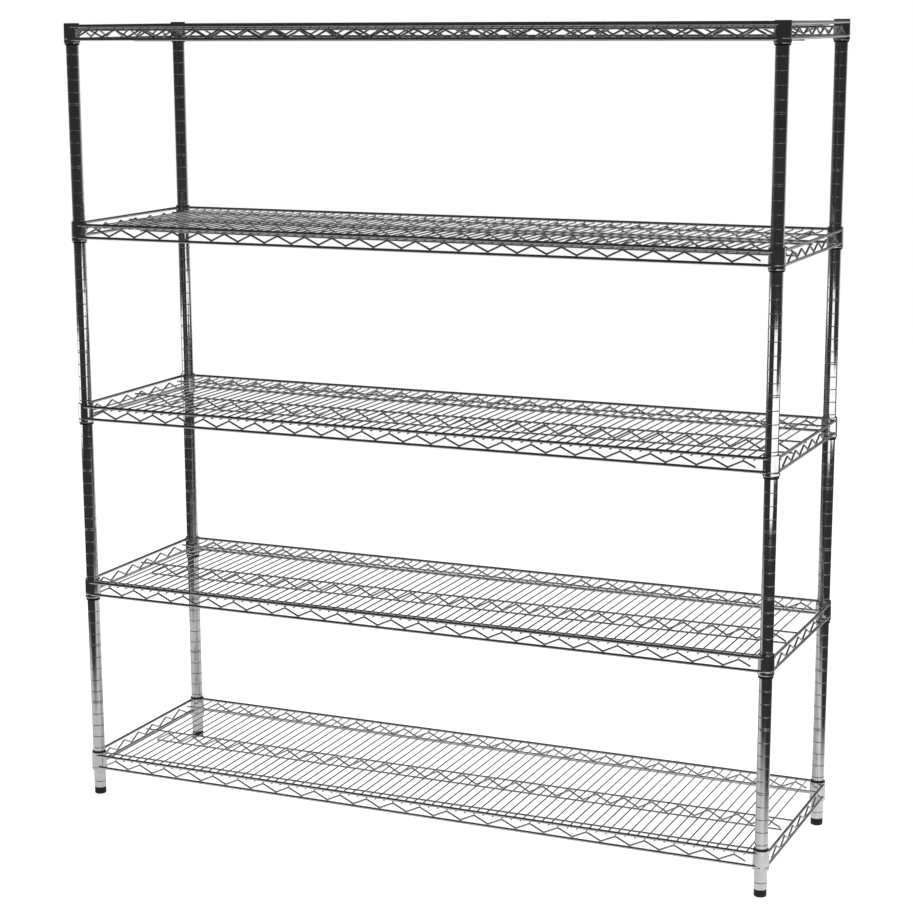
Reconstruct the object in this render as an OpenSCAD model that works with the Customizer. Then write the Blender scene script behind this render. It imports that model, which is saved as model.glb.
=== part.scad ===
// Chromed wire shelving rack: four grooved posts and five lift-off wire shelves.
// Each shelf hangs by its tapered corner collars on plastic split sleeves, which
// clip into the one-inch grooves of the posts. Four screw feet level the rack.
// Millimetres, +Z up. The origin is on the floor, under the middle of the rack.

/* [Rack] */
// Distance between post centre lines along the rack
span_x = 1479; // [879:60:1839]
// Distance between post centre lines, front to back
span_y = 424; // [304:60:604]
// Height of the tops of the post tubes above the floor
rack_h = 1639; // [1630:1:1660]

/* [Posts] */
// Outer diameter of a post tube
post_d = 25.4; // [25.2:0.1:25.4]
// Wall of a post tube
post_wall = 1.2; // [0.9:0.1:1.5]
// Height of the lowest groove above the floor
groove_first = 29.1; // [28:0.1:31]
// Distance from groove to groove
groove_pitch = 25.4; // [25.4:0.1:25.4]
// Depth of a groove
groove_depth = 0.8; // [0.6:0.1:0.9]
// Width of a groove at its mouth
groove_w = 1.8; // [1.4:0.1:2.2]

/* [Shelf levels] */
// Groove that each shelf stands over, counted from the lowest, bottom shelf first
level_groove = [1, 16, 31, 46, 62];
// How far each set of sleeves sits below its groove
sleeve_drop = [0.5, 0.5, 0.5, 0.5, 6.5];
// Height of each shelf's collars above that groove: a shelf settles where its sleeves grip
collar_seat = [-0.9, 5.0, 4.0, 2.8, -3.0];

/* [Sleeves and collars] */
// Height of a split sleeve
sleeve_h = 44; // [42:0.5:44]
// Outer diameter of a sleeve at its upper edge
sleeve_top_d = 27.8; // [27.4:0.1:28.2]
// Outer diameter of a sleeve at its lower edge
sleeve_low_d = 29.4; // [29:0.1:29.6]
// Height of a corner collar
collar_h = 40.5; // [40:0.5:41]
// Outer diameter of a collar at its upper edge
collar_top_d = 31.4; // [31:0.1:32]
// Outer diameter of a collar above its rolled lower edge
collar_low_d = 32.6; // [32.2:0.1:33]

/* [Shelf wires] */
// Diameter of the edge rails
rail_d = 6; // [5:0.5:6]
// Distance from the lower edge rail up to the upper one
rail_gap = 26; // [25:0.5:28]
// Distance from the post centre line out to the edge rails
rail_out = 12.5; // [11.5:0.5:12.5]
// Height of the lower edge rail above the collar's lower edge
rail_up = 8.5; // [7:0.5:9]
// Diameter of the deck wires, which run front to back
deck_d = 3; // [2.5:0.1:3.2]
// Distance from deck wire to deck wire
deck_pitch = 20; // [20:1:20]
// Diameter of the truss and support wires
truss_d = 4; // [3:0.5:4]
// Length of one full wave of a truss wire
truss_pitch = 60; // [60:1:60]
// Distance from the long edge rails in to the support wires
support_in = 43.3; // [40:0.1:50]

/* [Feet] */
// Height of a foot pad, with the foot screwed right in
pad_h = 14.6; // [14:0.1:15]
// Diameter of a foot pad
pad_d = 24.8; // [24:0.1:25.4]
// Diameter of the foot's screw
stud_d = 9.5; // [9.5:0.1:9.5]

/* [Hidden] */
$fn = 48;
CORNERS = ["front_left", "front_right", "back_left", "back_right"];
CORNER_SIGNS = [[-1, -1], [1, -1], [-1, 1], [1, 1]];
LEVELS = ["bottom", "second", "middle", "fourth", "top"];
ENDS = ["left", "right"];
SHELF_PARTS = [
    "collars", "edge_rails", "long_trusses", "end_trusses",
    "centre_truss", "support_wires", "deck_wires"
];

touch = 0.05;              // gap left where two wires are welded across each other
running = 0.05;            // radial gap of a running or settling fit
post_r = post_d / 2;
bore_r = post_r - post_wall;
post_low = 15;             // lower end of a post tube
groove_count = floor((rack_h - 6 - groove_first) / groove_pitch) + 1;
mark_every = 5;            // every fifth groove has a second one above it, to count by
mark_first = 2;
mark_up = 3.6;             // from a groove up to that second one
collar_top_r = collar_top_d / 2;
collar_low_r = collar_low_d / 2;
lip_r = sleeve_low_d / 2 + 0.9;   // collar's outer radius at its rolled lower edge
lip_h = 3;                 // height of that rolled edge
bead_up = 8;               // height of the formed groove round a collar
bead_depth = 0.7;
deck_z = rail_gap - rail_d / 2 - deck_d / 2 - touch;
support_z = deck_z - deck_d / 2 - truss_d / 2 - touch;
// A mitred bend reaches a little past the wire's own radius
bend_r = truss_d / 2 * 1.1 + touch;
edge_wave_low = rail_d / 2 + bend_r;
edge_wave_top = deck_z - deck_d / 2 - bend_r;
centre_low_z = -5;         // lower wire of the centre truss, from the lower edge rail
centre_wave_low = centre_low_z + truss_d / 2 + bend_r;
centre_wave_top = support_z - truss_d / 2 - bend_r;
rail_x = span_x / 2 + rail_out;
rail_y = span_y / 2 + rail_out;
cope_r = collar_low_r + touch;
deck_count = 2 * floor((span_x / 2 - cope_r - deck_d) / deck_pitch + 0.5);
deck_len = 2 * rail_y + rail_d * 0.7;
long_waves = 2 * floor((span_x / 2 - cope_r) / truss_pitch);
end_waves = 2 * floor((span_y / 2 - cope_r) / truss_pitch);
inner_len = 2 * rail_x - truss_d - 1;   // support wires stop short of the end trusses
long_stub = 7;             // how much of its last half wave a long truss lacks
pocket_r = 8.4;            // pocket in a foot pad, round the screw's hexagon
hex_af = 14;               // hexagon of the screw, across its flats
hex_low = 4;
hex_h = 4.5;
insert_h = 22;
cap_h = 2;

function groove_z(k) = groove_first + k * groove_pitch;
// Heights of the grooves cut at step k of the post: one, or two where the step is marked
function cuts(k) =
    k % mark_every == mark_first ? [groove_z(k), groove_z(k) + mark_up] : [groove_z(k)];
function sleeve_z(i) = groove_z(level_groove[i]) - sleeve_drop[i];
function collar_z(i) = groove_z(level_groove[i]) + collar_seat[i];
function rail_z(i) = collar_z(i) + rail_up;
// Outer radius of sleeve i at height z above the floor
function sleeve_r(i, z) =
    (sleeve_low_d + (sleeve_top_d - sleeve_low_d) * (z - sleeve_z(i)) / sleeve_h) / 2;

module at_corners() {
    for (s = CORNER_SIGNS)
        translate([s.x * span_x / 2, s.y * span_y / 2, 0]) children();
}

module at_corner(k) {
    translate([CORNER_SIGNS[k].x * span_x / 2, CORNER_SIGNS[k].y * span_y / 2, 0]) children();
}

// Straight wire along X, centred on the origin
module wire_x(len, d) {
    rotate([0, 90, 0]) cylinder(h = len, d = d, center = true);
}

// Straight wire along Y, centred on the origin
module wire_y(len, d) {
    rotate([90, 0, 0]) cylinder(h = len, d = d, center = true);
}

// Zigzag wire along X, bends at z_low and z_top, a low bend in the middle of its length.
// Each leg is cut square at its bends, so that neighbouring legs meet on one face.
// The two outermost legs are shortened by stub at the ends of the wire.
module wave_x(waves, z_low, z_top, stub = 0) {
    half = truss_pitch / 2;
    rise = z_top - z_low;
    lean = atan2(rise, half);
    legs = 2 * waves;
    for (k = [0:legs - 1]) {
        x0 = (k - waves) * half;
        up = abs(k - waves) % 2 == 0;
        cut_low = k == 0 ? stub : 0;
        cut_high = k == legs - 1 ? stub : 0;
        intersection() {
            translate([x0 + half / 2, 0, (z_low + z_top) / 2])
                rotate([0, up ? -lean : lean, 0])
                    wire_x(half / cos(lean) + 2 * truss_d, truss_d);
            translate([x0 + cut_low, -truss_d, z_low - truss_d])
                cube([half - cut_low - cut_high, 2 * truss_d, rise + 2 * truss_d]);
        }
    }
}

// Outline of a grooved tube, from its axis out, for turning
module post_outline() {
    mouth = groove_w / 2;
    bed = groove_w / 5;
    polygon(concat(
        [[bore_r, rack_h], [bore_r, post_low], [post_r, post_low]],
        [for (k = [0:groove_count - 1], z = cuts(k))
            for (p = [[0, -mouth], [groove_depth, -bed], [groove_depth, bed], [0, mouth]])
                [post_r - p.x, z + p.y]],
        [[post_r, rack_h]]
    ));
}

module post(k) {
    color([0.74, 0.75, 0.77])
        at_corner(k) rotate_extrude() post_outline();
}

// Plugs in the tops of the posts
module post_caps() {
    plug_h = 12;
    color([0.16, 0.16, 0.17]) at_corners() rotate_extrude()
        polygon([
            [0, rack_h - plug_h], [bore_r - 0.5, rack_h - plug_h], [bore_r - running, rack_h - plug_h + 2],
            [bore_r - running, rack_h], [post_r, rack_h], [post_r, rack_h + cap_h * 0.6],
            [post_r - 1.2, rack_h + cap_h], [0, rack_h + cap_h]
        ]);
}

// Threaded inserts pressed into the lower ends of the posts
module foot_inserts() {
    color([0.62, 0.63, 0.6]) at_corners() difference() {
        translate([0, 0, post_low]) cylinder(h = insert_h, r = bore_r - running);
        translate([0, 0, post_low - 1]) cylinder(h = insert_h + 2, r = stud_d / 2 + running);
    }
}

// Foot pad: moulded round the hexagon of its screw, which turns in it
module foot_pad(k) {
    round_r = 2.4;
    pad_r = pad_d / 2;
    color([0.09, 0.09, 0.1]) at_corner(k) difference() {
        rotate_extrude() polygon(concat(
            [[0, 0], [pad_r - round_r, 0]],
            [for (a = [15:15:75]) [pad_r - round_r + round_r * sin(a), round_r - round_r * cos(a)]],
            [[pad_r, round_r], [pad_r, pad_h - 0.8], [pad_r - 0.8, pad_h], [0, pad_h]]
        ));
        translate([0, 0, hex_low - 0.2]) cylinder(h = hex_h + 0.4, r = pocket_r);
        translate([0, 0, hex_low]) cylinder(h = pad_h, r = stud_d / 2 + 0.3);
    }
}

// Foot screw: hexagon held in the pad, plain shank up through the insert, driver slot on top
module foot_screw(k) {
    shank_top = 46;
    color([0.66, 0.66, 0.64]) at_corner(k) difference() {
        union() {
            translate([0, 0, hex_low])
                cylinder(h = hex_h, r = hex_af / 2 / cos(30), $fn = 6);
            translate([0, 0, hex_low + hex_h / 2])
                cylinder(h = shank_top - hex_low - hex_h / 2, d = stud_d);
        }
        translate([-stud_d, -0.8, shank_top - 2.2]) cube([2 * stud_d, 1.6, 3]);
    }
}

// Split sleeves at one end of a level: two half shells on each post, ribbed to fit a groove
module sleeves(i, end) {
    z0 = sleeve_z(i);
    in_r = post_r + running;
    rib_r = post_r - groove_depth + 0.25;
    rib_z = groove_z(level_groove[i]) + groove_pitch;
    split = 2;             // angle left open between the halves
    color([0.11, 0.11, 0.12]) for (k = [end, end + 2], a = [0, 180])
        at_corner(k) rotate([0, 0, 45 + a + split / 2])
            rotate_extrude(angle = 180 - split) polygon([
                [in_r, z0], [sleeve_r(i, z0), z0],
                [sleeve_r(i, z0 + sleeve_h), z0 + sleeve_h], [in_r, z0 + sleeve_h],
                [in_r, rib_z + groove_w * 0.4], [rib_r, rib_z + groove_w * 0.12],
                [rib_r, rib_z - groove_w * 0.12], [in_r, rib_z - groove_w * 0.4]
            ]);
}

// Corner collars: tapered tubes with a rolled lower edge and a formed groove
module collars(i) {
    z0 = collar_z(i);
    z1 = z0 + collar_h;
    color([0.76, 0.77, 0.79]) at_corners() rotate_extrude() polygon([
        [sleeve_r(i, z0) + running, z0],
        [lip_r, z0], [collar_low_r - 0.5, z0 + lip_h * 0.55], [collar_low_r, z0 + lip_h],
        [collar_low_r - 0.1, z0 + bead_up - 1.6], [collar_low_r - bead_depth, z0 + bead_up],
        [collar_low_r - 0.2, z0 + bead_up + 1.6],
        [collar_top_r, z1 - 0.8], [collar_top_r - 0.6, z1],
        [sleeve_r(i, z1) + running, z1]
    ]);
}

// Edge rails: an upper and a lower wire along each side, coped to fit the collars
module edge_rails(i) {
    color([0.78, 0.79, 0.81]) difference() {
        for (h = [0, rail_gap], s = [-1, 1]) translate([0, 0, rail_z(i) + h]) {
            translate([0, s * rail_y, 0]) wire_x(span_x, rail_d);
            translate([s * rail_x, 0, 0]) wire_y(span_y, rail_d);
        }
        translate([0, 0, rail_z(i) - rail_d]) at_corners()
            cylinder(h = rail_gap + 2 * rail_d, r = cope_r);
    }
}

// Zigzag wires between the rails of the two long edges
module long_trusses(i) {
    color([0.74, 0.75, 0.77]) for (s = [-1, 1])
        translate([0, s * rail_y, rail_z(i)])
            wave_x(long_waves, edge_wave_low, edge_wave_top, long_stub);
}

// Zigzag wires between the rails of the two short ends
module end_trusses(i) {
    color([0.74, 0.75, 0.77]) for (s = [-1, 1])
        translate([s * rail_x, 0, rail_z(i)]) rotate([0, 0, 90])
            wave_x(end_waves, edge_wave_low, edge_wave_top);
}

// Centre truss under the deck: an upper and a lower wire with a zigzag between them
module centre_truss(i) {
    color([0.74, 0.75, 0.77]) translate([0, 0, rail_z(i)]) {
        translate([0, 0, support_z]) wire_x(inner_len, truss_d);
        translate([0, 0, centre_low_z]) wire_x(inner_len, truss_d);
        wave_x(long_waves, centre_wave_low, centre_wave_top);
    }
}

// Long wires that carry the deck wires just inside the front and rear edges
module support_wires(i) {
    color([0.76, 0.77, 0.79]) for (s = [-1, 1])
        translate([0, s * (rail_y - support_in), rail_z(i) + support_z])
            wire_x(inner_len, truss_d);
}

// Deck wires, front to back, hung under the upper rails so that these form a low rim
module deck_wires(i) {
    color([0.8, 0.81, 0.83]) for (k = [0:deck_count - 1])
        translate([(k - (deck_count - 1) / 2) * deck_pitch, 0, rail_z(i) + deck_z])
            wire_y(deck_len, deck_d);
}

for (k = [0:3]) {
    post(k);
    foot_pad(k);
    foot_screw(k);
}
post_caps();
foot_inserts();
for (i = [0:4]) {
    sleeves(i, 0);
    sleeves(i, 1);
    collars(i);
    edge_rails(i);
    long_trusses(i);
    end_trusses(i);
    centre_truss(i);
    support_wires(i);
    deck_wires(i);
}
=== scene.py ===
import math

import bmesh
import bpy
from mathutils import Matrix, Vector


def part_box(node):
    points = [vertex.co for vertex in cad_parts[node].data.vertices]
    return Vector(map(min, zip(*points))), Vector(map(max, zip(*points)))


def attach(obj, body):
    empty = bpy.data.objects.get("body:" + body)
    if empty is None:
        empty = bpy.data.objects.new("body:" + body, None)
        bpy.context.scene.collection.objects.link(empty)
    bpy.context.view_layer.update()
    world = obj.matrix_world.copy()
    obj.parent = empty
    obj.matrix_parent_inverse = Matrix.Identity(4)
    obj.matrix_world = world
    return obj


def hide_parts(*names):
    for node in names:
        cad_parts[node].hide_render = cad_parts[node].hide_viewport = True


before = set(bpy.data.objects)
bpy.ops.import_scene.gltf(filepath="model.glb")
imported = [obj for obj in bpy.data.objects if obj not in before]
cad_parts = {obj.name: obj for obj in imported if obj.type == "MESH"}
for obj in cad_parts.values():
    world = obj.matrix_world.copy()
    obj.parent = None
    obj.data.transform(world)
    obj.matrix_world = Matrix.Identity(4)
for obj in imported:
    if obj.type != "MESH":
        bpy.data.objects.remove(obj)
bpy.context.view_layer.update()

# Looks of a chromed wire shelving rack: grooved posts on screw feet, five lift-off shelves.
# Sizes are in metres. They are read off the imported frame, or named here where it can't give them.

MM = 0.001
CORNERS = ["front_left", "front_right", "back_left", "back_right"]
LEVELS = ["bottom", "second", "middle", "fourth", "top"]
UP = Vector((0, 0, 1))
ALONG_X = Vector((1, 0, 0))
ALONG_Y = Vector((0, 1, 0))

# ---------------------------------------------------------------- sizes from the frame

POST_BOX = {corner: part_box("post_" + corner) for corner in CORNERS}
POST_AT = {
    corner: Vector(((low.x + high.x) / 2, (low.y + high.y) / 2, 0))
    for corner, (low, high) in POST_BOX.items()
}
POST_LOW, POST_HIGH = POST_BOX["front_left"]
POST_R = (POST_HIGH.x - POST_LOW.x) / 2
POST_WALL = 1.2 * MM
BORE_R = POST_R - POST_WALL
POST_SIDES = 40

GROOVE_FIRST = 29.1 * MM      # lowest groove above the floor
GROOVE_PITCH = 25.4 * MM
GROOVE_DEPTH = 0.8 * MM
GROOVE_HALF = 0.9 * MM        # half the width of a groove's mouth
MARK_EVERY, MARK_FIRST = 5, 2  # every fifth groove is doubled, to count by
MARK_UP = 3.6 * MM            # how far the second groove of a pair is above the first
PLAIN_TOP = 6 * MM            # no groove is nearer than this to a post's upper end

CAP_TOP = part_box("post_caps")[1].z
PLUG_DEPTH = 12 * MM

SLEEVE_TAPER = 0.8 * MM       # radius that a sleeve loses from its lower to its upper edge
# outer radii of the sleeves and the collars, at their lower edge
SLEEVE_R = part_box("middle_sleeves_left")[1].x - POST_AT["front_left"].x
COLLAR_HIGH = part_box("middle_collars")[1]
COLLAR_R = min(COLLAR_HIGH.x - POST_AT["back_right"].x, COLLAR_HIGH.y - POST_AT["back_right"].y)
COLLAR_TAPER = 0.6 * MM       # radius that a collar loses towards its upper edge
COLLAR_SIDES = 48
FIT = 0.05 * MM               # clearance between pieces that fit together

PAD_LOW, PAD_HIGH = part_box("foot_pad_front_left")
PAD_R = (PAD_HIGH.x - PAD_LOW.x) / 2
SCREW_LOW, SCREW_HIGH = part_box("foot_screw_front_left")
STUD_R = 4.75 * MM
THREAD_PITCH = 1.5875 * MM
THREAD_FIRST = 15 * MM        # height of the thread's first crest, at rest
THREAD_SHORT = 3.2 * MM       # the thread stops at least this far below the screw's upper end
HEX_LOW, HEX_HIGH = SCREW_LOW.z, SCREW_LOW.z + 4.5 * MM
HEX_R = 7 * MM / math.cos(math.pi / 6)  # over its corners
POCKET_R = 8.4 * MM           # pocket in a pad, round the screw's hexagon
SLOT_WIDTH, SLOT_DEPTH = 1.6 * MM, 2.2 * MM
SCREW_SIDES = 32
INSERT_LOW, INSERT_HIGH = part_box("foot_inserts")

RAIL_R = 3 * MM
RAIL_SIDES, WIRE_SIDES, DECK_SIDES, ZIGZAG_SIDES = 24, 14, 12, 10
DECK_PITCH = 20 * MM
WAVE_PITCH = 60 * MM
WAVE_BEND = 4.2 * MM          # radius of a truss wire's bends, to its centre line
LONG_WAVES, END_WAVES = 24, 6
LONG_STUB = 7 * MM            # what the ends of a long truss lack of their last half wave
CENTRE_PAST = 3 * MM          # how far the centre truss's lower wire runs past its zigzag
PRESS = 0.15 * MM             # how far welding sinks a zigzag into the wires it meets
HAIR = 0.0001 * MM            # nearer than this to a cut counts as on it


def shelf_sizes(level):
    """Heights and reaches of one shelf's wires, collars and sleeves.

    All are read off its CAD nodes but the reach of the centre truss's lower wire, which
    stops short of the end rails.
    """
    rail_low, rail_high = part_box(level + "_edge_rails")
    deck_low, deck_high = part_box(level + "_deck_wires")
    support_low, support_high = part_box(level + "_support_wires")
    centre_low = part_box(level + "_centre_truss")[0]
    collar_low, collar_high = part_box(level + "_collars")
    sleeve_low, sleeve_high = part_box(level + "_sleeves_left")
    deck_r = (deck_high.z - deck_low.z) / 2
    wire_r = (support_high.z - support_low.z) / 2
    return {
        "rail_x": rail_high.x - RAIL_R,
        "rail_y": rail_high.y - RAIL_R,
        "rail_low": rail_low.z + RAIL_R,
        "rail_top": rail_high.z - RAIL_R,
        "deck_r": deck_r,
        "deck_z": (deck_high.z + deck_low.z) / 2,
        "deck_y": deck_high.y,
        "deck_x": deck_high.x - deck_r,
        "wire_r": wire_r,
        "support_z": support_low.z + wire_r,
        "support_y": support_high.y - wire_r,
        "support_x": support_high.x,
        "centre_z": centre_low.z + wire_r,
        "centre_x": LONG_WAVES * WAVE_PITCH / 2 + CENTRE_PAST,
        "collar_low": collar_low.z,
        "collar_high": collar_high.z,
        "sleeve_low": sleeve_low.z,
        "sleeve_high": sleeve_high.z,
    }


SHELF = {level: shelf_sizes(level) for level in LEVELS}


# ---------------------------------------------------------------- mesh tools

def verts_of(geom):
    """The points among a tool's results."""
    return [item for item in geom if isinstance(item, bmesh.types.BMVert)]


def edges_of(geom):
    """The edges among a tool's results."""
    return [item for item in geom if isinstance(item, bmesh.types.BMEdge)]


def everything(bm):
    """All the points, edges and faces made so far."""
    return list(bm.verts) + list(bm.edges) + list(bm.faces)


def ring(bm, centre, direction, radius, sides):
    """Starts a wire: a ring of edges square to its direction."""
    turn = UP.rotation_difference(Vector(direction)).to_matrix().to_4x4()
    made = bmesh.ops.create_circle(
        bm, cap_ends=False, radius=radius, segments=sides,
        matrix=Matrix.Translation(centre) @ turn,
    )["verts"]
    return list({edge for vert in made for edge in vert.link_edges})


def ring_verts(edges):
    """The points of a ring, each once."""
    return list({vert for edge in edges for vert in edge.verts})


def extend(bm, edges, step, grow=1.0):
    """Draws a ring on by a step, grown or shrunk about its middle, and returns the new ring."""
    fresh = verts_of(bmesh.ops.extrude_edge_only(bm, edges=edges)["geom"])
    bmesh.ops.translate(bm, verts=fresh, vec=step)
    if grow != 1.0:
        middle = sum((vert.co for vert in fresh), Vector()) / len(fresh)
        bmesh.ops.scale(
            bm, verts=fresh, vec=(grow, grow, grow), space=Matrix.Translation(-middle)
        )
    kept = set(fresh)
    return [
        edge for edge in {e for vert in fresh for e in vert.link_edges}
        if edge.verts[0] in kept and edge.verts[1] in kept
    ]


def close(bm, edges):
    """Fills a ring with a flat face."""
    bmesh.ops.edgeloop_fill(bm, edges=edges)


def round_off(bm, edges, outward, depth):
    """Closes a wire's end with a small rounded edge."""
    edges = extend(bm, edges, outward * depth * 0.6, 0.93)
    edges = extend(bm, edges, outward * depth * 0.4, 0.72)
    close(bm, edges)


def straight_wire(bm, start, end, radius, sides):
    """A straight wire from end to end, its ends rounded off within its length."""
    start, end = Vector(start), Vector(end)
    along = (end - start).normalized()
    depth = radius * 0.35
    first = ring(bm, start + along * depth, along, radius, sides)
    last = extend(bm, first, end - start - along * 2 * depth)
    round_off(bm, first, -along, depth)
    round_off(bm, last, along, depth)


def turned(bm, outline, at, sides):
    """Turns a closed outline of (radius, height) points right round an upright axis."""
    points = [bm.verts.new((at.x + r, at.y, z)) for r, z in outline]
    edges = [
        bm.edges.new((point, after)) for point, after in zip(points, points[1:] + points[:1])
    ]
    bmesh.ops.spin(
        bm, geom=points + edges, cent=(at.x, at.y, 0), axis=UP,
        angle=2 * math.pi, steps=sides, use_merge=True,
    )


def turned_part(bm, outline, at, start, sweep, steps, climb=0.0):
    """Turns an outline's face part of the way round, or up a helix, with closed ends."""
    aim = Vector((math.cos(start), math.sin(start), 0))
    points = [bm.verts.new(at + aim * r + UP * z) for r, z in outline]
    face = bm.faces.new(points)
    bmesh.ops.spin(
        bm, geom=points + list(face.edges) + [face], cent=(at.x, at.y, 0), axis=UP,
        dvec=(0, 0, climb / steps), angle=sweep, steps=steps, use_merge=False,
    )


def arc(centre_r, centre_z, radius, start, end, count):
    """Points of an outline round a small arc, from one angle to another in degrees."""
    return [
        (
            centre_r + radius * math.cos(math.radians(start + (end - start) * k / count)),
            centre_z + radius * math.sin(math.radians(start + (end - start) * k / count)),
        )
        for k in range(count + 1)
    ]


def dent(radius, height, half, depth, count, lean=0.0):
    """Points of an outline across a rounded groove, from below it to above it.

    A point held just outside each edge keeps the wall beside the groove straight. Lean is
    how much the wall draws in for each metre of height.
    """
    hold = 1 + 0.12 * MM / half
    shares = [-hold] + [2 * k / count - 1 for k in range(count + 1)] + [hold]
    curve = [depth * (0.5 + 0.5 * math.cos(math.pi * share)) for share in shares[1:-1]]
    depths = [0] + curve + [0]
    return [
        (radius - lean * half * share - cut, height + half * share)
        for share, cut in zip(shares, depths)
    ]


def finished(name, bm, body, slot, nodes, sharp=38):
    """Merges, turns outwards and shades a bmesh, and makes it a piece of the object."""
    bmesh.ops.remove_doubles(bm, verts=bm.verts, dist=0.001 * MM)
    bmesh.ops.recalc_face_normals(bm, faces=bm.faces)
    for face in bm.faces:
        face.smooth = True
    for edge in bm.edges:
        edge.smooth = edge.calc_face_angle(0) < math.radians(sharp)
    mesh = bpy.data.meshes.new(name)
    bm.to_mesh(mesh)
    bm.free()
    piece = bpy.data.objects.new(name, mesh)
    bpy.context.scene.collection.objects.link(piece)
    mesh.materials.append(FINISH[slot])
    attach(piece, body)
    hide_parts(*nodes)


def shelf_piece(level, name, bm, slot, node):
    """Finishes a piece that moves with one shelf, in place of one of the shelf's CAD nodes."""
    finished(level + name, bm, level + "_shelf", slot, [level + node])


# ---------------------------------------------------------------- shared surface effects

def add(tree, kind, **settings):
    """Adds a node to a tree and sets its own settings."""
    node = tree.nodes.new(kind)
    for key, value in settings.items():
        setattr(node, key, value)
    return node


def feed(tree, node, **sources):
    """Sets or links a node's inputs, by name with each space as _, or by number after a _."""
    for key, source in sources.items():
        place = int(key[1:]) if key[1:].isdigit() else key.replace("_", " ")
        socket = node.inputs[place]
        if isinstance(source, bpy.types.NodeSocket):
            tree.links.new(source, socket)
        else:
            socket.default_value = source
    return node


def new_group(name, inputs, outputs):
    """Starts a node group with named sockets, and returns it with its input and output nodes."""
    tree = bpy.data.node_groups.new(name, "ShaderNodeTree")
    for label, kind, value in inputs:
        socket = tree.interface.new_socket(name=label, in_out="INPUT", socket_type=kind)
        if value is not None:
            socket.default_value = value
    for label, kind in outputs:
        tree.interface.new_socket(name=label, in_out="OUTPUT", socket_type=kind)
    return tree, add(tree, "NodeGroupInput"), add(tree, "NodeGroupOutput")


VECTOR, FLOAT, COLOR = "NodeSocketVector", "NodeSocketFloat", "NodeSocketColor"


def noise(tree, vector, scale, detail, rough=0.55):
    """A cloudy pattern from 0 to 1."""
    return feed(
        tree, add(tree, "ShaderNodeTexNoise"),
        Vector=vector, Scale=scale, Detail=detail, Roughness=rough,
    ).outputs["Fac"]


def spread(tree, value, low, high, from_low, from_high):
    """Maps one stretch of a value onto low to high, and holds it beyond."""
    node = add(tree, "ShaderNodeMapRange", clamp=True)
    feed(tree, node, Value=value, From_Min=from_low, From_Max=from_high, To_Min=low, To_Max=high)
    return node.outputs["Result"]


def maths(tree, operation, first, second, third=0.0):
    """One sum on values or patterns. Only MULTIPLY_ADD uses the third."""
    node = add(tree, "ShaderNodeMath", operation=operation)
    return feed(tree, node, _0=first, _1=second, _2=third).outputs[0]


def weighted(tree, first, second, share):
    """Adds two patterns, the first by a share and the second by the rest."""
    return maths(
        tree, "ADD", maths(tree, "MULTIPLY", first, share),
        maths(tree, "MULTIPLY", second, 1 - share),
    )


def parted(tree, vector):
    """The X, Y and Z of a vector."""
    return feed(tree, add(tree, "ShaderNodeSeparateXYZ"), Vector=vector).outputs


def blend(tree, share, first, second):
    """Mixes two colours by a share."""
    node = add(tree, "ShaderNodeMix", data_type="RGBA")
    return feed(tree, node, _0=share, _6=first, _7=second).outputs[2]


def dulled(tree, pattern, smooth, dull):
    """A roughness that follows a pattern's middle part from smooth to dull."""
    return spread(tree, pattern, smooth, dull, 0.36, 0.64)


def build_plating():
    """Uneven bright plating: a tone and a roughness that change in patches and in fine specks."""
    tree, given, put = new_group(
        "plating",
        [("Vector", VECTOR, None), ("Dark", COLOR, (0.6, 0.6, 0.6, 1)),
         ("Bright", COLOR, (0.8, 0.8, 0.8, 1)), ("Smooth", FLOAT, 0.05), ("Dull", FLOAT, 0.15)],
        [("Colour", COLOR), ("Roughness", FLOAT)],
    )
    at = given.outputs["Vector"]
    patches = noise(tree, at, 14.0, 2.0)
    clouds = noise(tree, at, 95.0, 4.0)
    specks = noise(tree, at, 900.0, 2.0)
    tone = spread(tree, weighted(tree, patches, clouds, 0.5), 0.0, 1.0, 0.38, 0.62)
    dulling = weighted(tree, clouds, specks, 0.6)
    feed(
        tree, put, Colour=blend(tree, tone, given.outputs["Dark"], given.outputs["Bright"]),
        Roughness=dulled(tree, dulling, given.outputs["Smooth"], given.outputs["Dull"]),
    )
    return tree


def build_drawn_lines():
    """Fine lines that drawing leaves along a wire or tube."""
    tree, given, put = new_group(
        "drawn_lines",
        [("Vector", VECTOR, None), ("Stretch", VECTOR, (1, 1, 1)), ("Fineness", FLOAT, 1500.0)],
        [("Height", FLOAT), ("Mask", FLOAT)],
    )
    drawn = add(tree, "ShaderNodeVectorMath", operation="MULTIPLY")
    feed(tree, drawn, _0=given.outputs["Vector"], _1=given.outputs["Stretch"])
    lines = noise(tree, drawn.outputs[0], given.outputs["Fineness"], 3.0, 0.6)
    feed(tree, put, Height=lines, Mask=spread(tree, lines, 0.0, 1.0, 0.52, 0.7))
    return tree


def build_handling_marks():
    """Thin broken scratches from handling and stacking."""
    tree, given, put = new_group(
        "handling_marks", [("Vector", VECTOR, None), ("Density", FLOAT, 60.0)], [("Mask", FLOAT)]
    )
    at = given.outputs["Vector"]
    warp = feed(tree, add(tree, "ShaderNodeTexNoise"), Vector=at, Scale=35.0, Detail=2.0)
    bent = add(tree, "ShaderNodeVectorMath", operation="MULTIPLY_ADD")
    feed(tree, bent, _0=warp.outputs["Color"], _1=(0.02, 0.02, 0.02), _2=at)
    cracks = add(tree, "ShaderNodeTexVoronoi", feature="DISTANCE_TO_EDGE")
    feed(tree, cracks, Vector=bent.outputs[0], Scale=given.outputs["Density"])
    thin = spread(tree, cracks.outputs["Distance"], 1.0, 0.0, 0.0, 0.012)
    broken = spread(tree, noise(tree, at, 120.0, 2.0), 0.0, 1.0, 0.5, 0.62)
    feed(tree, put, Mask=maths(tree, "MULTIPLY", thin, broken))
    return tree


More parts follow.
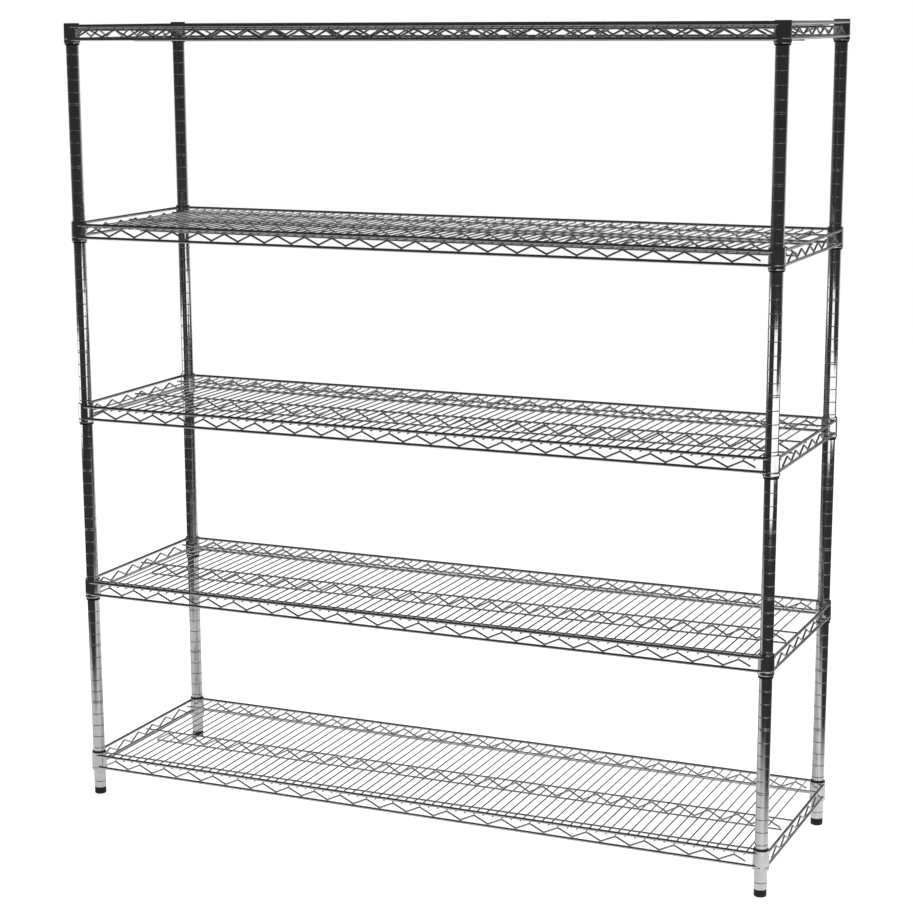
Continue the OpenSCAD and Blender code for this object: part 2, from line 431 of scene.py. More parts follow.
def build_dust():
    """A light film of dust that gathers on what faces up."""
    tree, given, put = new_group(
        "dust",
        [("Vector", VECTOR, None), ("Facing", VECTOR, (0, 0, 1)), ("Amount", FLOAT, 0.2)],
        [("Mask", FLOAT)],
    )
    top = spread(tree, parted(tree, given.outputs["Facing"])["Z"], 0.0, 1.0, 0.25, 0.95)
    clouds = noise(tree, given.outputs["Vector"], 45.0, 4.0, 0.65)
    blotches = spread(tree, clouds, 0.1, 1.0, 0.35, 0.7)
    mask = maths(tree, "MULTIPLY", maths(tree, "MULTIPLY", top, blotches), given.outputs["Amount"])
    feed(tree, put, Mask=mask)
    return tree


def build_moulded_grain():
    """The slightly mottled, finely grained skin of a black moulding."""
    tree, given, put = new_group(
        "moulded_grain",
        [("Vector", VECTOR, None), ("Grain", FLOAT, 1800.0), ("Dark", COLOR, (0.01, 0.01, 0.01, 1)),
         ("Bright", COLOR, (0.03, 0.03, 0.03, 1)), ("Smooth", FLOAT, 0.35), ("Dull", FLOAT, 0.6)],
        [("Colour", COLOR), ("Roughness", FLOAT), ("Height", FLOAT)],
    )
    at = given.outputs["Vector"]
    mottle = noise(tree, at, 160.0, 4.0, 0.6)
    fine = noise(tree, at, given.outputs["Grain"], 2.0, 0.6)
    tone = spread(tree, mottle, 0.0, 1.0, 0.35, 0.68)
    dulling = weighted(tree, mottle, fine, 0.6)
    feed(
        tree, put, Colour=blend(tree, tone, given.outputs["Dark"], given.outputs["Bright"]),
        Roughness=dulled(tree, dulling, given.outputs["Smooth"], given.outputs["Dull"]),
        Height=fine,
    )
    return tree


EFFECT = {
    "plating": build_plating(),
    "drawn_lines": build_drawn_lines(),
    "handling_marks": build_handling_marks(),
    "dust": build_dust(),
    "moulded_grain": build_moulded_grain(),
}


def effect(tree, name, **sources):
    """Uses one of the shared effects in a material."""
    node = add(tree, "ShaderNodeGroup", node_tree=EFFECT[name])
    return feed(tree, node, **sources).outputs


def new_material(name):
    """Starts a material, and returns its tree, its shader and the place on the piece."""
    material = bpy.data.materials.new(name)
    material.use_nodes = True
    tree = material.node_tree
    shader = next(node for node in tree.nodes if node.type == "BSDF_PRINCIPLED")
    place = add(tree, "ShaderNodeTexCoord").outputs["Object"]
    return material, tree, shader, place


DUST_TONE = (0.42, 0.41, 0.39, 1)
SCUFF_TONE = (0.12, 0.12, 0.12, 1)


def bright_metal(name, dark, bright, smooth, dull, stretch, fineness, line_depth, dust):
    """Plated metal: uneven plating, drawn lines, handling marks and a trace of dust."""
    material, tree, shader, place = new_material(name)
    plate = effect(
        tree, "plating", Vector=place, Dark=(*dark, 1), Bright=(*bright, 1),
        Smooth=smooth, Dull=dull,
    )
    lines = effect(tree, "drawn_lines", Vector=place, Stretch=stretch, Fineness=fineness)
    marks = effect(tree, "handling_marks", Vector=place, Density=45.0)
    facing = add(tree, "ShaderNodeNewGeometry").outputs["Normal"]
    film = effect(tree, "dust", Vector=place, Facing=facing, Amount=dust)
    colour = blend(tree, film["Mask"], plate["Colour"], DUST_TONE)
    worn = maths(tree, "MULTIPLY_ADD", marks["Mask"], 0.08, plate["Roughness"])
    lined = maths(tree, "MULTIPLY_ADD", lines["Mask"], 0.03, worn)
    dusty = maths(tree, "MULTIPLY_ADD", film["Mask"], 0.3, lined)
    first = feed(
        tree, add(tree, "ShaderNodeBump"), Strength=0.5, Distance=line_depth, Height=lines["Height"]
    )
    second = feed(
        tree, add(tree, "ShaderNodeBump", invert=True), Strength=0.4, Distance=0.005 * MM,
        Height=marks["Mask"], Normal=first.outputs[0],
    )
    feed(tree, shader, Base_Color=colour, Roughness=dusty, Normal=second.outputs[0], Metallic=1.0)
    return material


def black_moulding(name, dark, bright, smooth, dull, grain, depth, dust):
    """Black plastic or rubber: mottled grain, scuffs and a trace of dust."""
    material, tree, shader, place = new_material(name)
    skin = effect(
        tree, "moulded_grain", Vector=place, Grain=grain, Dark=(*dark, 1), Bright=(*bright, 1),
        Smooth=smooth, Dull=dull,
    )
    marks = effect(tree, "handling_marks", Vector=place, Density=90.0)
    facing = add(tree, "ShaderNodeNewGeometry").outputs["Normal"]
    film = effect(tree, "dust", Vector=place, Facing=facing, Amount=dust)
    scuffs = maths(tree, "MULTIPLY", marks["Mask"], 0.35)
    scuffed = blend(tree, scuffs, skin["Colour"], SCUFF_TONE)
    colour = blend(tree, film["Mask"], scuffed, DUST_TONE)
    bump = feed(
        tree, add(tree, "ShaderNodeBump"), Strength=0.6, Distance=depth, Height=skin["Height"]
    )
    feed(
        tree, shader, Base_Color=colour, Roughness=skin["Roughness"], Normal=bump.outputs[0],
        Metallic=0.0, Specular_IOR_Level=0.45,
    )
    return material


# dark and bright tone, smooth and dull roughness, stretch and fineness of the drawn lines,
# depth of the lines, dust
METALS = {
    "post_chrome": (
        (0.72, 0.73, 0.75), (0.82, 0.825, 0.835), 0.05, 0.11,
        (1, 1, 0.02), 1600.0, 0.0015 * MM, 0.01,
    ),
    "collar_chrome": (
        (0.7, 0.71, 0.73), (0.81, 0.815, 0.825), 0.07, 0.15,
        (1, 1, 0.3), 1200.0, 0.003 * MM, 0.03,
    ),
    "rail_chrome": (
        (0.7, 0.71, 0.73), (0.82, 0.825, 0.835), 0.1, 0.2,
        (0.1, 0.1, 1), 1800.0, 0.005 * MM, 0.08,
    ),
    "truss_chrome": (
        (0.68, 0.69, 0.71), (0.8, 0.805, 0.815), 0.12, 0.22,
        (0.1, 0.1, 0.3), 1800.0, 0.005 * MM, 0.06,
    ),
    "deck_chrome": (
        (0.68, 0.69, 0.71), (0.8, 0.805, 0.815), 0.12, 0.22,
        (1, 0.05, 1), 2200.0, 0.004 * MM, 0.08,
    ),
    "screw_zinc": (
        (0.5, 0.5, 0.47), (0.66, 0.66, 0.62), 0.28, 0.45,
        (1, 1, 1), 900.0, 0.01 * MM, 0.02,
    ),
    "insert_zinc": (
        (0.46, 0.46, 0.44), (0.62, 0.62, 0.58), 0.3, 0.5,
        (1, 1, 1), 700.0, 0.012 * MM, 0.02,
    ),
}

# dark and bright tone, smooth and dull roughness, fineness and depth of the grain, dust
MOULDINGS = {
    "sleeve_plastic": (
        (0.006, 0.006, 0.007), (0.018, 0.018, 0.02), 0.32, 0.5, 1700.0, 0.02 * MM, 0.05,
    ),
    "cap_plastic": (
        (0.008, 0.008, 0.009), (0.022, 0.022, 0.024), 0.3, 0.48, 1500.0, 0.02 * MM, 0.12,
    ),
    "foot_rubber": (
        (0.006, 0.006, 0.006), (0.02, 0.02, 0.019), 0.5, 0.72, 1100.0, 0.04 * MM, 0.06,
    ),
}

FINISH = {name: bright_metal(name, *look) for name, look in METALS.items()}
FINISH.update({name: black_moulding(name, *look) for name, look in MOULDINGS.items()})


# ---------------------------------------------------------------- posts, caps and feet

def post_outline():
    """Tube wall with a rolled groove at every pitch, and a second one to count by."""
    edge = 0.4 * MM
    outline = [(BORE_R, POST_HIGH.z), (BORE_R, POST_LOW.z), (POST_R - edge, POST_LOW.z)]
    outline.append((POST_R, POST_LOW.z + edge))
    count = int((POST_HIGH.z - PLAIN_TOP - GROOVE_FIRST) / GROOVE_PITCH) + 1
    for step in range(count):
        height = GROOVE_FIRST + step * GROOVE_PITCH
        outline += dent(POST_R, height, GROOVE_HALF, GROOVE_DEPTH, 6)
        if step % MARK_EVERY == MARK_FIRST:
            outline += dent(POST_R, height + MARK_UP, GROOVE_HALF, GROOVE_DEPTH, 6)
    return outline + [(POST_R, POST_HIGH.z)]


def make_post(corner):
    """One grooved tube."""
    bm = bmesh.new()
    turned(bm, post_outline(), POST_AT[corner], POST_SIDES)
    finished("tube_" + corner, bm, "frame", "post_chrome", ["post_" + corner], 50)


def make_caps():
    """Plugs with a thin rounded disc that covers the tube's edge."""
    bm = bmesh.new()
    top, rim = CAP_TOP, POST_HIGH.z
    low, plug_r = rim - PLUG_DEPTH, BORE_R - FIT
    corner_r, dish = 1.1 * MM, 0.4 * MM
    outline = [(0, low), (BORE_R - 0.5 * MM, low), (plug_r, low + 2 * MM)]
    for step in (1, 2, 3):
        outline += dent(plug_r, low + step * PLUG_DEPTH / 4, 0.7 * MM, 0.4 * MM, 4)
    outline += [(plug_r, rim), (POST_R, rim)]
    outline += arc(POST_R - corner_r, top - corner_r, corner_r, 0, 90, 4)
    outline += [(POST_R * 0.62, top), (POST_R * 0.55, top - dish), (0, top - dish)]
    for corner in CORNERS:
        turned(bm, outline, POST_AT[corner], POST_SIDES)
    finished("end_caps", bm, "frame", "cap_plastic", ["post_caps"])


def make_inserts():
    """Pressed-in nuts: a barrel with three ring grooves, round the foot screw."""
    bm = bmesh.new()
    low, high = INSERT_LOW.z, INSERT_HIGH.z
    outer, inner = BORE_R - FIT, STUD_R + FIT
    chamfer = 0.6 * MM
    outline = [(inner + chamfer, low), (outer - chamfer, low), (outer, low + chamfer)]
    for share in (0.3, 0.5, 0.7):
        outline += dent(outer, low + (high - low) * share, 0.9 * MM, 0.5 * MM, 4)
    outline += [(outer, high - chamfer), (outer - chamfer, high), (inner + chamfer, high)]
    outline += [(inner, high - chamfer), (inner, low + chamfer)]
    for corner in CORNERS:
        turned(bm, outline, POST_AT[corner], POST_SIDES)
    finished("threaded_inserts", bm, "frame", "insert_zinc", ["foot_inserts"])


def slot_cheek(bm, at, radius, low, high, side):
    """What stands on one side of a driver slot: a slice of the shank's end."""
    disc = bmesh.ops.create_circle(
        bm, cap_ends=True, radius=radius, segments=SCREW_SIDES,
        matrix=Matrix.Translation(at + UP * low),
    )["verts"]
    geom = disc + list({edge for vert in disc for edge in vert.link_edges})
    geom += list({face for vert in disc for face in vert.link_faces})
    kept = bmesh.ops.bisect_plane(
        bm, geom=geom, dist=HAIR, plane_co=at + ALONG_Y * side * SLOT_WIDTH / 2,
        plane_no=ALONG_Y * side, clear_inner=True,
    )["geom"]
    chamfer = 0.6 * MM
    rim = [edge for edge in edges_of(kept) if edge.is_valid and edge.is_boundary]
    rim = extend(bm, rim, UP * (high - low - chamfer))
    close(bm, extend(bm, rim, UP * chamfer, 0.86))


def make_pad(corner):
    """A moulded pad with a rounded sole, a shallow waist and a pocket for its screw."""
    sole_r, shoulder_r, waist = 2.4 * MM, 1.0 * MM, 0.35 * MM
    hole_r, top, hollow = STUD_R + 0.3 * MM, PAD_HIGH.z, 0.5 * MM
    pocket_low, pocket_high = HEX_LOW - 0.2 * MM, HEX_HIGH + 0.2 * MM
    outline = [(0, hollow), (PAD_R * 0.62, hollow), (PAD_R * 0.68, 0)]
    outline += arc(PAD_R - sole_r, sole_r, sole_r, -90, 0, 6)
    outline += dent(PAD_R, top * 0.62, 1.2 * MM, waist, 6)
    outline += arc(PAD_R - shoulder_r, top - shoulder_r, shoulder_r, 0, 90, 4)
    outline += [(hole_r + 0.8 * MM, top), (hole_r, top - 0.8 * MM), (hole_r, pocket_high)]
    outline += [(POCKET_R, pocket_high), (POCKET_R, pocket_low), (0, pocket_low)]
    bm = bmesh.new()
    turned(bm, outline, POST_AT[corner], COLLAR_SIDES)
    finished("pad_" + corner, bm, "pad_" + corner, "foot_rubber", ["foot_pad_" + corner])


def screw_head(bm, at):
    """The hexagon that turns in the pad's pocket, its two rims chamfered."""
    edge = 0.4 * MM
    lower = ring(bm, at + UP * (HEX_LOW + edge), UP, HEX_R, 6)
    turn = Matrix.Rotation(math.pi / 6, 3, "Z")
    bmesh.ops.rotate(bm, verts=ring_verts(lower), cent=at, matrix=turn)
    upper = extend(bm, lower, UP * (HEX_HIGH - HEX_LOW - 2 * edge))
    for edges, way in ((lower, -UP), (upper, UP)):
        close(bm, extend(bm, edges, way * edge, 0.95))


def screw_thread(bm, at, core_r, turns):
    """A helical rib round the shank, sunk a little into it."""
    crest, flank, sunk = 0.16 * THREAD_PITCH, 0.44 * THREAD_PITCH, 0.3 * MM
    low, high = THREAD_FIRST - flank, THREAD_FIRST + flank
    rib = [
        (core_r - sunk, low), (core_r, low), (STUD_R, THREAD_FIRST - crest),
        (STUD_R, THREAD_FIRST + crest), (core_r, high), (core_r - sunk, high),
    ]
    turned_part(bm, rib, at, 0, 2 * math.pi * turns, 24 * turns, turns * THREAD_PITCH)


def make_screw(corner):
    """A foot screw: hexagon, threaded shank, and a driver slot across its upper end."""
    at = POST_AT[corner]
    core_r, high = STUD_R - 0.6 * MM, SCREW_HIGH.z
    slot_low, middle = high - SLOT_DEPTH, (HEX_LOW + HEX_HIGH) / 2
    bm = bmesh.new()
    screw_head(bm, at)
    shank = [(0, middle), (core_r, middle), (core_r, slot_low), (0, slot_low)]
    turned(bm, shank, at, SCREW_SIDES)
    for side in (-1, 1):
        slot_cheek(bm, at, core_r, slot_low - 0.1 * MM, high, side)
    turns = int((high - THREAD_SHORT - THREAD_FIRST) / THREAD_PITCH)
    screw_thread(bm, at, core_r, turns)
    finished("screw_" + corner, bm, "screw_" + corner, "screw_zinc", ["foot_screw_" + corner])


# ---------------------------------------------------------------- sleeves and collars

def sleeve_radius(size, height):
    """Outer radius of a sleeve at a height."""
    share = (height - size["sleeve_low"]) / (size["sleeve_high"] - size["sleeve_low"])
    return SLEEVE_R - SLEEVE_TAPER * share


def make_sleeves(level, end):
    """Two half shells on each post of one end, tapered outside and ribbed into a groove."""
    size = SHELF[level]
    low, high = size["sleeve_low"], size["sleeve_high"]
    low_r, high_r = sleeve_radius(size, low), sleeve_radius(size, high)
    inner = POST_R + FIT
    edge = 0.35 * MM
    steps = round((low - GROOVE_FIRST) / GROOVE_PITCH) + 1
    rib = GROOVE_FIRST + steps * GROOVE_PITCH
    outline = [(inner, low), (low_r - edge, low), (low_r, low + edge)]
    for share in (0.25, 0.5, 0.75):
        height = low + (high - low) * share
        outline += dent(sleeve_radius(size, height), height, 0.6 * MM, 0.2 * MM, 4)
    outline += [(high_r, high - edge), (high_r - edge, high), (inner, high)]
    root, crest, reach = 0.7 * MM, 0.2 * MM, 0.5 * MM
    outline += [
        (inner, rib + root), (inner - reach, rib + crest),
        (inner - reach, rib - crest), (inner, rib - root),
    ]
    bm = bmesh.new()
    gap = math.radians(2)
    for side in ("front_", "back_"):
        for half in (0, math.pi):
            turned_part(
                bm, outline, POST_AT[side + end], math.radians(45) + half + gap / 2,
                math.pi - gap, POST_SIDES // 2,
            )
    node = level + "_sleeves_" + end
    finished(level + "_split_sleeves_" + end, bm, "frame", "sleeve_plastic", [node])


def collar_radius(size, height):
    """Outer radius of a collar at a height, above its rolled lower edge."""
    share = (height - size["collar_low"]) / (size["collar_high"] - size["collar_low"])
    return COLLAR_R - COLLAR_TAPER * share


def make_collars(level):
    """Tapered tubes with a rolled lower edge, a formed ring groove and a rounded upper edge."""
    size = SHELF[level]
    low, high = size["collar_low"], size["collar_high"]
    roll, lip, edge, hold = 2.6 * MM, 0.7 * MM, 0.7 * MM, 0.3 * MM
    groove_at, groove_half, groove_depth = low + 8 * MM, 1.6 * MM, 0.7 * MM
    inner_low, inner_high = sleeve_radius(size, low) + FIT, sleeve_radius(size, high) + FIT
    outline = [(inner_low, low + 0.3 * MM), (inner_low + 0.25 * MM, low)]
    outline.append((COLLAR_R - lip - 0.2 * MM, low))
    for turn in (18, 36, 54, 72, 90):
        out, up = math.sin(math.radians(turn)), 1 - math.cos(math.radians(turn))
        outline.append((COLLAR_R - lip * (1 - out), low + roll * up))
    groove_r, lean = collar_radius(size, groove_at), COLLAR_TAPER / (high - low)
    outline.append((collar_radius(size, low + roll + hold), low + roll + hold))
    outline += dent(groove_r, groove_at, groove_half, groove_depth, 8, lean)
    outline.append((collar_radius(size, high - edge - hold), high - edge - hold))
    outline += arc(collar_radius(size, high) - edge, high - edge, edge, 0, 90, 4)
    outline += [(inner_high + 0.2 * MM, high), (inner_high, high - 0.2 * MM)]
    bm = bmesh.new()
    for corner in CORNERS:
        turned(bm, outline, POST_AT[corner], COLLAR_SIDES)
    shelf_piece(level, "_corner_collars", bm, "collar_chrome", "_collars")


# ---------------------------------------------------------------- shelf wires

def coped_rail(bm, size, height, axis, side):
    """A rail from collar to collar, its ends cut to the collars' curve and spread by the weld."""
    across = 1 - axis
    spot = POST_AT["back_right"]
    sideways = side * (size["rail_x"] if axis == 1 else size["rail_y"])
    along = ALONG_X if axis == 0 else ALONG_Y
    seat = collar_radius(size, height) - 0.4 * MM
    weld, flare = 1.8 * MM, 1.16
    middle = Vector((0, 0, height))
    middle[across] = sideways
    rings = {}
    edges = ring(bm, middle, along, RAIL_R, RAIL_SIDES)
    for sign in (-1, 1):
        near = extend(bm, edges, along * sign * spot[axis] * 0.5)
        rings[sign] = (near, extend(bm, near, along * sign * MM, flare))
        close(bm, rings[sign][1])
    for sign, (near, tip) in rings.items():
        for edges, reach in ((near, seat + weld), (tip, seat)):
            for vert in ring_verts(edges):
                offset = abs(vert.co[across]) - spot[across]
                left = max(reach ** 2 - offset ** 2, (0.1 * reach) ** 2)
                vert.co[axis] = sign * (spot[axis] - math.sqrt(left))


def make_rails(level):
    """The upper and the lower rail along each of a shelf's four sides."""
    size = SHELF[level]
    bm = bmesh.new()
    for height in (size["rail_low"], size["rail_top"]):
        for axis in (0, 1):
            for side in (-1, 1):
                coped_rail(bm, size, height, axis, side)
    shelf_piece(level, "_rails", bm, "rail_chrome", "_edge_rails")


def wave_shape(low, high):
    """Lean and straight length of a truss leg that joins two equal bends."""
    half, rise = WAVE_PITCH / 2, high - low
    lift = rise - 2 * WAVE_BEND
    reach = math.hypot(half, lift)
    lean = math.atan2(lift, half) + math.asin(2 * WAVE_BEND / reach)
    return lean, math.sqrt(reach ** 2 - 4 * WAVE_BEND ** 2)


def bend(bm, edges, centre, angle, steps):
    """Carries a ring round a bend in the plane of X and Z."""
    geom = ring_verts(edges) + edges
    last = bmesh.ops.spin(
        bm, geom=geom, cent=centre, axis=ALONG_Y, angle=angle, steps=steps, use_merge=False
    )["geom_last"]
    return edges_of(last)


def zigzag(waves, low, high, radius, stub):
    """A zigzag wire along X at the origin: one wave is bent, then repeated and joined."""
    bm = bmesh.new()
    lean, leg = wave_shape(low, high)
    half = WAVE_PITCH / 2
    start = -waves * half
    edges = ring(bm, (start, 0, low), ALONG_X, radius, ZIGZAG_SIDES)
    edges = bend(bm, edges, (start, 0, low + WAVE_BEND), -lean, 2)
    edges = extend(bm, edges, Vector((math.cos(lean), 0, math.sin(lean))) * leg)
    edges = bend(bm, edges, (start + half, 0, high - WAVE_BEND), 2 * lean, 4)
    edges = extend(bm, edges, Vector((math.cos(lean), 0, -math.sin(lean))) * leg)
    bend(bm, edges, (start + 2 * half, 0, low + WAVE_BEND), -lean, 2)
    wave = everything(bm)
    for count in range(1, waves):
        copied = bmesh.ops.duplicate(bm, geom=wave)["geom"]
        bmesh.ops.translate(bm, verts=verts_of(copied), vec=(count * WAVE_PITCH, 0, 0))
    bmesh.ops.remove_doubles(bm, verts=bm.verts, dist=0.01 * MM)
    if stub:
        for sign in (-1, 1):
            bmesh.ops.bisect_plane(
                bm, geom=everything(bm), dist=HAIR, plane_co=(sign * (waves * half - stub), 0, 0),
                plane_no=(sign, 0, 0), clear_outer=True,
            )
    ends = [edge for edge in bm.edges if edge.is_boundary]
    for sign in (-1, 1):
        close(bm, [edge for edge in ends if edge.verts[0].co.x * sign > 0])
    return bm


def placed_zigzag(bm, size, waves, low, high, stub, place):
    """Adds a zigzag wire, turned and moved to its edge of the shelf."""
    fresh = zigzag(waves, low, high, size["wire_r"], stub)
    bmesh.ops.transform(fresh, matrix=place, verts=fresh.verts)
    carrier = bpy.data.meshes.new("carrier")
    fresh.to_mesh(carrier)
    fresh.free()
    bm.from_mesh(carrier)
    bpy.data.meshes.remove(carrier)


def make_trusses(level):
    """Zigzag wires of a shelf's four sides, welded between the lower rails and the deck wires."""
    size = SHELF[level]
    low = size["rail_low"] + RAIL_R + size["wire_r"] - PRESS
    high = size["deck_z"] - size["deck_r"] - size["wire_r"] + PRESS
    bm = bmesh.new()
    for side in (-1, 1):
        place = Matrix.Translation((0, side * size["rail_y"], 0))
        placed_zigzag(bm, size, LONG_WAVES, low, high, LONG_STUB, place)
    shelf_piece(level, "_long_zigzags", bm, "truss_chrome", "_long_trusses")
    bm = bmesh.new()
    crosswise = Matrix.Rotation(math.pi / 2, 4, "Z")
    for side in (-1, 1):
        place = Matrix.Translation((side * size["rail_x"], 0, 0)) @ crosswise
        placed_zigzag(bm, size, END_WAVES, low, high, 0, place)
    shelf_piece(level, "_end_zigzags", bm, "truss_chrome", "_end_trusses")


def make_centre_truss(level):
    """The truss under the middle of the deck: two straight wires with a zigzag between them."""
    size = SHELF[level]
    step = 2 * size["wire_r"] - PRESS
    low, high = size["centre_z"], size["support_z"]
    bm = bmesh.new()
    for height, reach in ((high, size["support_x"]), (low, size["centre_x"])):
        straight_wire(bm, (-reach, 0, height), (reach, 0, height), size["wire_r"], WIRE_SIDES)
    placed_zigzag(bm, size, LONG_WAVES, low + step, high - step, 0, Matrix())
    shelf_piece(level, "_middle_truss", bm, "truss_chrome", "_centre_truss")


def make_supports(level):
    """Two long wires that carry the deck just inside the front and the rear."""
    size = SHELF[level]
    bm = bmesh.new()
    for side in (-1, 1):
        y, z, x = side * size["support_y"], size["support_z"], size["support_x"]
        straight_wire(bm, (-x, y, z), (x, y, z), size["wire_r"], WIRE_SIDES)
    shelf_piece(level, "_carriers", bm, "truss_chrome", "_support_wires")


def make_deck(level):
    """All the front-to-back wires of one shelf: one is made, then repeated along the shelf."""
    size = SHELF[level]
    bm = bmesh.new()
    x, y, z = -size["deck_x"], size["deck_y"], size["deck_z"]
    straight_wire(bm, (x, -y, z), (x, y, z), size["deck_r"], DECK_SIDES)
    wire = everything(bm)
    count = round(2 * size["deck_x"] / DECK_PITCH)
    for step in range(1, count + 1):
        copied = bmesh.ops.duplicate(bm, geom=wire)["geom"]
        bmesh.ops.translate(bm, verts=verts_of(copied), vec=(step * DECK_PITCH, 0, 0))
    shelf_piece(level, "_deck", bm, "deck_chrome", "_deck_wires")


# ---------------------------------------------------------------- building

for corner in CORNERS:
    make_post(corner)
    make_pad(corner)
    make_screw(corner)
make_caps()
make_inserts()
for level in LEVELS:
    for end in ("left", "right"):
        make_sleeves(level, end)
    make_collars(level)
    make_rails(level)
    make_trusses(level)
    make_centre_truss(level)
    make_supports(level)
    make_deck(level)


# ---------------------------------------------------------------- camera, floor and light

CAMERA_AT = (1.8225, -4.1554, 1.6564)
CAMERA_YAW, CAMERA_PITCH, CAMERA_ROLL = 0.4233, -0.2110, -0.0061  # in radians
CAMERA_LENS, CAMERA_SHIFT = 88.45, (0.0319, 0.0409)


def make_camera():
    """The camera, turned left and down from straight back, and rolled a very little."""
    flat = Vector((-math.sin(CAMERA_YAW), math.cos(CAMERA_YAW), 0))
    forward = flat * math.cos(CAMERA_PITCH) + UP * math.sin(CAMERA_PITCH)
    right = Vector((math.cos(CAMERA_YAW), math.sin(CAMERA_YAW), 0))
    above = right.cross(forward)
    side = right * math.cos(CAMERA_ROLL) + above * math.sin(CAMERA_ROLL)
    top = above * math.cos(CAMERA_ROLL) - right * math.sin(CAMERA_ROLL)
    data = bpy.data.cameras.new("camera")
    data.sensor_width = 36
    data.lens = CAMERA_LENS
    data.shift_x, data.shift_y = CAMERA_SHIFT
    data.clip_start, data.clip_end = 0.1, 60
    camera = bpy.data.objects.new("camera", data)
    turn = Matrix((side, top, -forward)).transposed().to_4x4()
    camera.matrix_world = Matrix.Translation(CAMERA_AT) @ turn
    bpy.context.scene.collection.objects.link(camera)
    bpy.context.scene.camera = camera


WHITE = (1, 1, 1, 1)


def emission(tree, strength):
    """White light that a surface gives off by itself."""
    return feed(tree, add(tree, "ShaderNodeEmission"), Color=WHITE, Strength=strength).outputs[0]


def to_camera(tree, others, camera):
    """Shows one surface to the camera and another to everything else."""
    seen = add(tree, "ShaderNodeLightPath").outputs["Is Camera Ray"]
    return mixed(tree, seen, others, camera)


def mixed(tree, share, first, second):
    """Mixes two surfaces by a share."""
    return feed(tree, add(tree, "ShaderNodeMixShader"), _0=share, _1=first, _2=second).outputs[0]


def stage_plane(name, material, width, depth, place):
    """A flat stage piece: floor or light card."""
    bm = bmesh.new()
    bmesh.ops.create_grid(bm, x_segments=1, y_segments=1, size=0.5)
    bmesh.ops.scale(bm, verts=bm.verts, vec=(width, depth, 1))
    bmesh.ops.transform(bm, matrix=place, verts=bm.verts)
    mesh = bpy.data.meshes.new(name)
    bm.to_mesh(mesh)
    bm.free()
    plane = bpy.data.objects.new(name, mesh)
    bpy.context.scene.collection.objects.link(plane)
    mesh.materials.append(material)
    return plane


def stage_material(name):
    """Starts a material without a shader, and returns its tree and its output."""
    material = bpy.data.materials.new(name)
    material.use_nodes = True
    tree = material.node_tree
    output = next(node for node in tree.nodes if node.type == "OUTPUT_MATERIAL")
    tree.nodes.remove(next(node for node in tree.nodes if node.type == "BSDF_PRINCIPLED"))
    return material, tree, output


SHEET_GLOW = 0.6              # how brightly the white sheet shows in the chrome
SHEET_MORE = 0.27             # how much brighter it gets towards its right edge
ROOM_GLOW = 0.035             # the dark room round it
SHEET_SOFT = 0.25             # half the width of the sheet's soft edges
SHEET_FRONT, SHEET_LEFT, SHEET_RIGHT = -0.95, -1.9, 1.15
CARD_GLOW = 1.3
CARDS = {                     # middle, facing, width and height
    "card_front_right": ((1.35, -1.05, 0.72), (-0.55, 0.83, 0), 1.0, 0.46),
    "card_right": ((1.95, 0.05, 0.675), (-1, 0, 0), 2.0, 0.2),
    "card_left": ((-2.05, -0.35, 0.67), (1, 0, 0), 1.4, 0.3),
}
FLOOR_WIDTH = 14


def make_floor():
    """A plain white floor. In the chrome it shows as a lit sheet in a dark room."""
    material, tree, output = stage_material("floor_white")
    place = parted(tree, add(tree, "ShaderNodeTexCoord").outputs["Object"])
    front = spread(tree, place["Y"], 0.0, 1.0, SHEET_FRONT - SHEET_SOFT, SHEET_FRONT + SHEET_SOFT)
    left = spread(tree, place["X"], 0.0, 1.0, SHEET_LEFT - SHEET_SOFT, SHEET_LEFT + SHEET_SOFT)
    right = spread(tree, place["X"], 1.0, 0.0, SHEET_RIGHT - SHEET_SOFT, SHEET_RIGHT + SHEET_SOFT)
    sheet = maths(tree, "MULTIPLY", maths(tree, "MULTIPLY", front, left), right)
    near = spread(tree, place["X"], 0.0, 1.0, 0.55, 1.0)
    lit = maths(tree, "MULTIPLY_ADD", near, SHEET_MORE, SHEET_GLOW)
    shown = mixed(tree, sheet, emission(tree, ROOM_GLOW), emission(tree, lit))
    white = feed(tree, add(tree, "ShaderNodeBsdfDiffuse"), Color=(0.6, 0.6, 0.6, 1)).outputs[0]
    pale = feed(tree, add(tree, "ShaderNodeAddShader"), _0=emission(tree, 1.0), _1=white)
    tree.links.new(to_camera(tree, shown, pale.outputs[0]), output.inputs["Surface"])
    below = Matrix.Translation(UP * -0.5 * MM)
    stage_plane("floor", material, FLOOR_WIDTH, FLOOR_WIDTH, below)


def make_card(name, at, facing, width, height):
    """An upright lit card that shows in the chrome and not to the camera."""
    material, tree, output = stage_material(name)
    tree.links.new(emission(tree, CARD_GLOW), output.inputs["Surface"])
    turn = Vector(facing).to_track_quat("Z", "Y").to_matrix().to_4x4()
    card = stage_plane(name, material, width, height, Matrix.Translation(at) @ turn)
    card.visible_camera = False
    card.visible_shadow = False


ROOM_BY_BEARING = (           # share of a turn from -180 degrees, brightness
    (0.0, 0.13), (0.045, 0.07), (0.09, 0.045), (0.14, 0.035), (0.55, 0.035),
    (0.59, 0.08), (0.64, 0.35), (0.69, 0.65), (0.75, 0.8), (0.84, 0.5), (0.9, 0.3), (1.0, 0.13),
)
ROOM_LEAST = 0.03             # no part of the room is darker
ROOM_BY_RISE = (              # half of one more than the sine of the rise, share kept
    (0.0, 1.0), (0.465, 1.0), (0.487, 0.6), (0.5, 0.2), (0.52, 0.08), (0.55, 0.05), (0.568, 0.2),
    (0.59, 0.8), (0.612, 0.3), (0.633, 0.1), (0.67, 0.14), (0.71, 0.06), (1.0, 0.05),
)


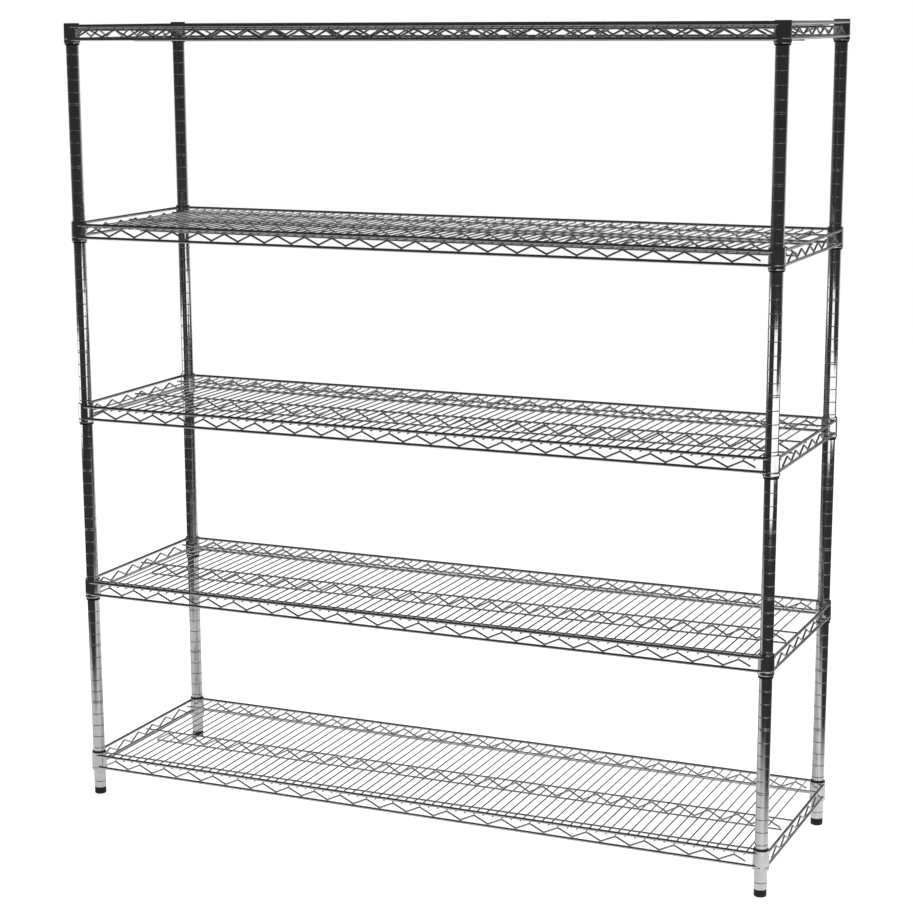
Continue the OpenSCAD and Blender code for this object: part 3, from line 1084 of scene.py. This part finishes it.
def graded(tree, share, stops):
    """Reads a list of (place, brightness) pairs at a share from 0 to 1."""
    ramp = add(tree, "ShaderNodeValToRGB")
    tree.links.new(share, ramp.inputs[0])
    marks = ramp.color_ramp.elements
    while len(marks) > 1:
        marks.remove(marks[-1])
    marks[0].position, marks[0].color = stops[0][0], (*(stops[0][1],) * 3, 1)
    for place, glow in stops[1:]:
        marks.new(place).color = (glow, glow, glow, 1)
    return ramp.outputs["Color"]


def make_world():
    """Plain white to the camera. In the chrome, a dark room with a bright backdrop."""
    world = bpy.data.worlds.new("studio")
    bpy.context.scene.world = world
    world.use_nodes = True
    tree = world.node_tree
    bearing = parted(tree, add(tree, "ShaderNodeTexCoord").outputs["Generated"])
    angle = maths(tree, "ARCTAN2", bearing["Y"], bearing["X"])
    turn = maths(tree, "MULTIPLY_ADD", angle, 0.5 / math.pi, 0.5)
    rise = maths(tree, "MULTIPLY_ADD", bearing["Z"], 0.5, 0.5)
    glow = maths(
        tree, "MULTIPLY", graded(tree, turn, ROOM_BY_BEARING), graded(tree, rise, ROOM_BY_RISE)
    )
    background = next(node for node in tree.nodes if node.type == "BACKGROUND")
    feed(tree, background, Color=WHITE, Strength=maths(tree, "MAXIMUM", glow, ROOM_LEAST))
    plain = feed(tree, add(tree, "ShaderNodeBackground"), Color=WHITE, Strength=1.0)
    output = next(node for node in tree.nodes if node.type == "OUTPUT_WORLD")
    shown = to_camera(tree, background.outputs[0], plain.outputs[0])
    tree.links.new(shown, output.inputs["Surface"])


LAMP_AT, LAMP_WIDTH, LAMP_POWER = (0, -0.8, 3.4), 3.0, 90


def make_soft_light():
    """A broad soft light from above for the black parts and the floor."""
    data = bpy.data.lights.new("overhead", "AREA")
    data.shape, data.size, data.size_y = "RECTANGLE", LAMP_WIDTH, LAMP_WIDTH
    data.energy = LAMP_POWER
    light = bpy.data.objects.new("overhead", data)
    light.matrix_world = Matrix.Translation(LAMP_AT)
    light.visible_glossy = False
    bpy.context.scene.collection.objects.link(light)


for name, (middle, facing, width, height) in CARDS.items():
    make_card(name, middle, facing, width, height)
make_camera()
make_floor()
make_world()
make_soft_light()
bpy.context.scene.view_settings.view_transform = "Standard"
